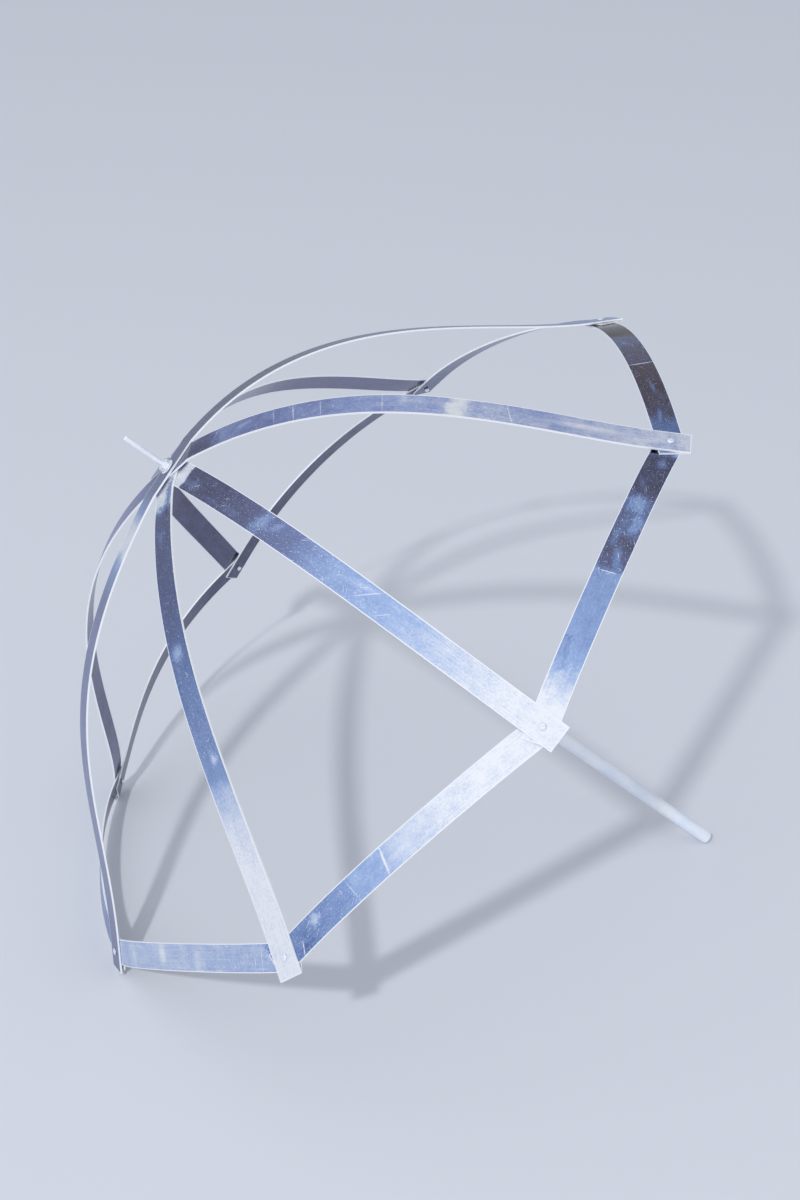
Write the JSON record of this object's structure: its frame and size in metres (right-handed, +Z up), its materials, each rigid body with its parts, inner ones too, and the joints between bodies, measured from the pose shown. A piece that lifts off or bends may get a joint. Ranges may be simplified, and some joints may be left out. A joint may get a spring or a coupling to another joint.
{
  "type": "broken umbrella",
  "caption": "Bare skeleton of an open umbrella with no cover, made of riveted flat metal bars over a straight shaft, tipped over on its side.",
  "frame": {"origin": "under the middle of the bounding box, on the surface that it lies on", "axes": "+X along the shaft's level direction, from the hub to the shaft's end; +Y across the dome; +Z up as it lies"},
  "size_m": [0.7574, 0.9056, 0.6483],
  "materials": {
    "bar": "mill-bright rolled bar, smudged and scratched",
    "rivet": "bright",
    "shaft": "pale satin",
    "steel": "zinc plated"
  },
  "bodies": {
    "root": {"rib_bar_ae": "bar", "rib_bar_bf": "bar", "rib_bar_cg": "bar", "rib_bar_dh": "bar", "rim_bar_ab": "bar", "rim_bar_bc": "bar", "rim_bar_cd": "bar", "rim_bar_de": "bar", "rim_bar_ef": "bar", "rim_bar_fg": "bar", "rim_bar_gh": "bar", "rim_bar_ha": "bar", "rivet_a": "rivet", "rivet_b": "rivet", "rivet_c": "rivet", "rivet_d": "rivet", "rivet_e": "rivet", "rivet_f": "rivet", "rivet_g": "rivet", "rivet_h": "rivet", "shaft": "shaft", "spike_rod": "steel", "hub_washer": "steel", "hub_nut": "steel"}
  },
  "joints": []
}
